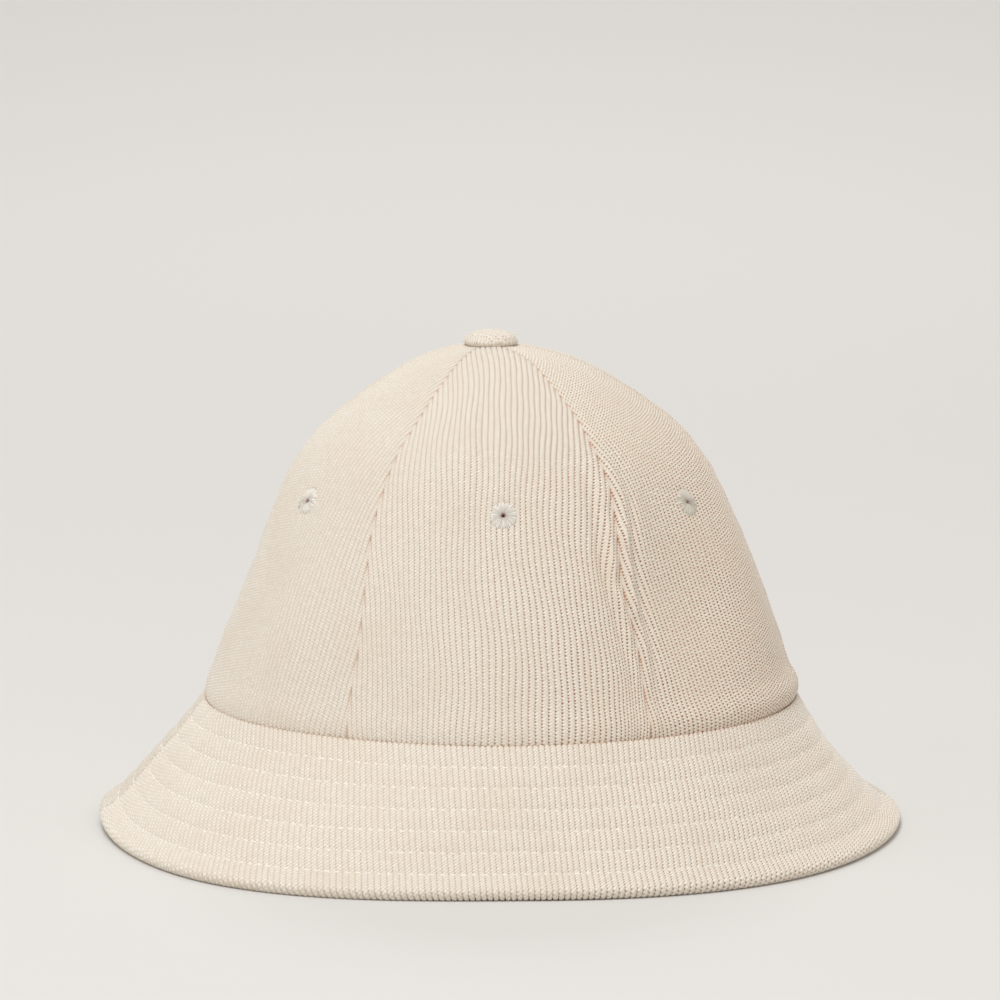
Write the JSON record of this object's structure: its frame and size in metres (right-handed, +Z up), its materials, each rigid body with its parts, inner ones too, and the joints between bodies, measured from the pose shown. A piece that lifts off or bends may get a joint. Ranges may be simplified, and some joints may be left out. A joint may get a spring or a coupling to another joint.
{
  "type": "bucket hat",
  "caption": "Corduroy bucket hat with a flared panelled crown, covered button, stitched eyelets and a sloped, row-quilted brim.",
  "frame": {"origin": "on the ground under the centre of the crown, the middle of the brim's footprint", "axes": "+Z up through the covered button, front panel towards -Y, +X to the right in the front view"},
  "size_m": [0.261, 0.261, 0.1594],
  "materials": {
    "corduroy": "ecru cotton corduroy, fine wales",
    "embroidery_thread": "satin-stitched thread",
    "seam_tape": "plain woven cotton tape",
    "sewing_thread": "spun polyester thread",
    "interlining": "stiff non-woven",
    "sweatband": "cotton twill",
    "label": "blank woven satin",
    "button_metal": "tinned steel sheet"
  },
  "bodies": {
    "hat": {"crown_panel_front": "corduroy", "crown_panel_front_right": "corduroy", "crown_panel_back_right": "corduroy", "crown_panel_back": "corduroy", "crown_panel_back_left": "corduroy", "crown_panel_front_left": "corduroy", "brim_upper_front": "corduroy", "brim_upper_back": "corduroy", "brim_under_front": "corduroy", "brim_under_back": "corduroy", "eyelet_front": "embroidery_thread", "eyelet_front_right": "embroidery_thread", "eyelet_back_right": "embroidery_thread", "eyelet_back": "embroidery_thread", "eyelet_back_left": "embroidery_thread", "eyelet_front_left": "embroidery_thread", "seam_tape_front_right": "seam_tape", "seam_tape_right": "seam_tape", "seam_tape_back_right": "seam_tape", "seam_tape_back_left": "seam_tape", "seam_tape_left": "seam_tape", "seam_tape_front_left": "seam_tape", "brim_stitch_row_1": "sewing_thread", "brim_stitch_row_2": "sewing_thread", "brim_stitch_row_3": "sewing_thread", "brim_stitch_row_4": "sewing_thread", "brim_stitch_row_5": "sewing_thread", "brim_stitch_row_6": "sewing_thread", "brim_interlining_front": "interlining", "brim_interlining_back": "interlining", "button_cover": "corduroy", "button_shell": "button_metal", "button_shank": "button_metal", "button_washer": "button_metal", "sweatband": "sweatband"},
    "care_label": {"care_label": "label"}
  },
  "joints": [
    {"name": "care_label_flap", "type": "hinge", "parent": "hat", "child": "care_label", "pos_m": [0, 0.08075, 0.071], "axis": [-1, 0, 0], "range_deg": [-12, 140]}
  ]
}
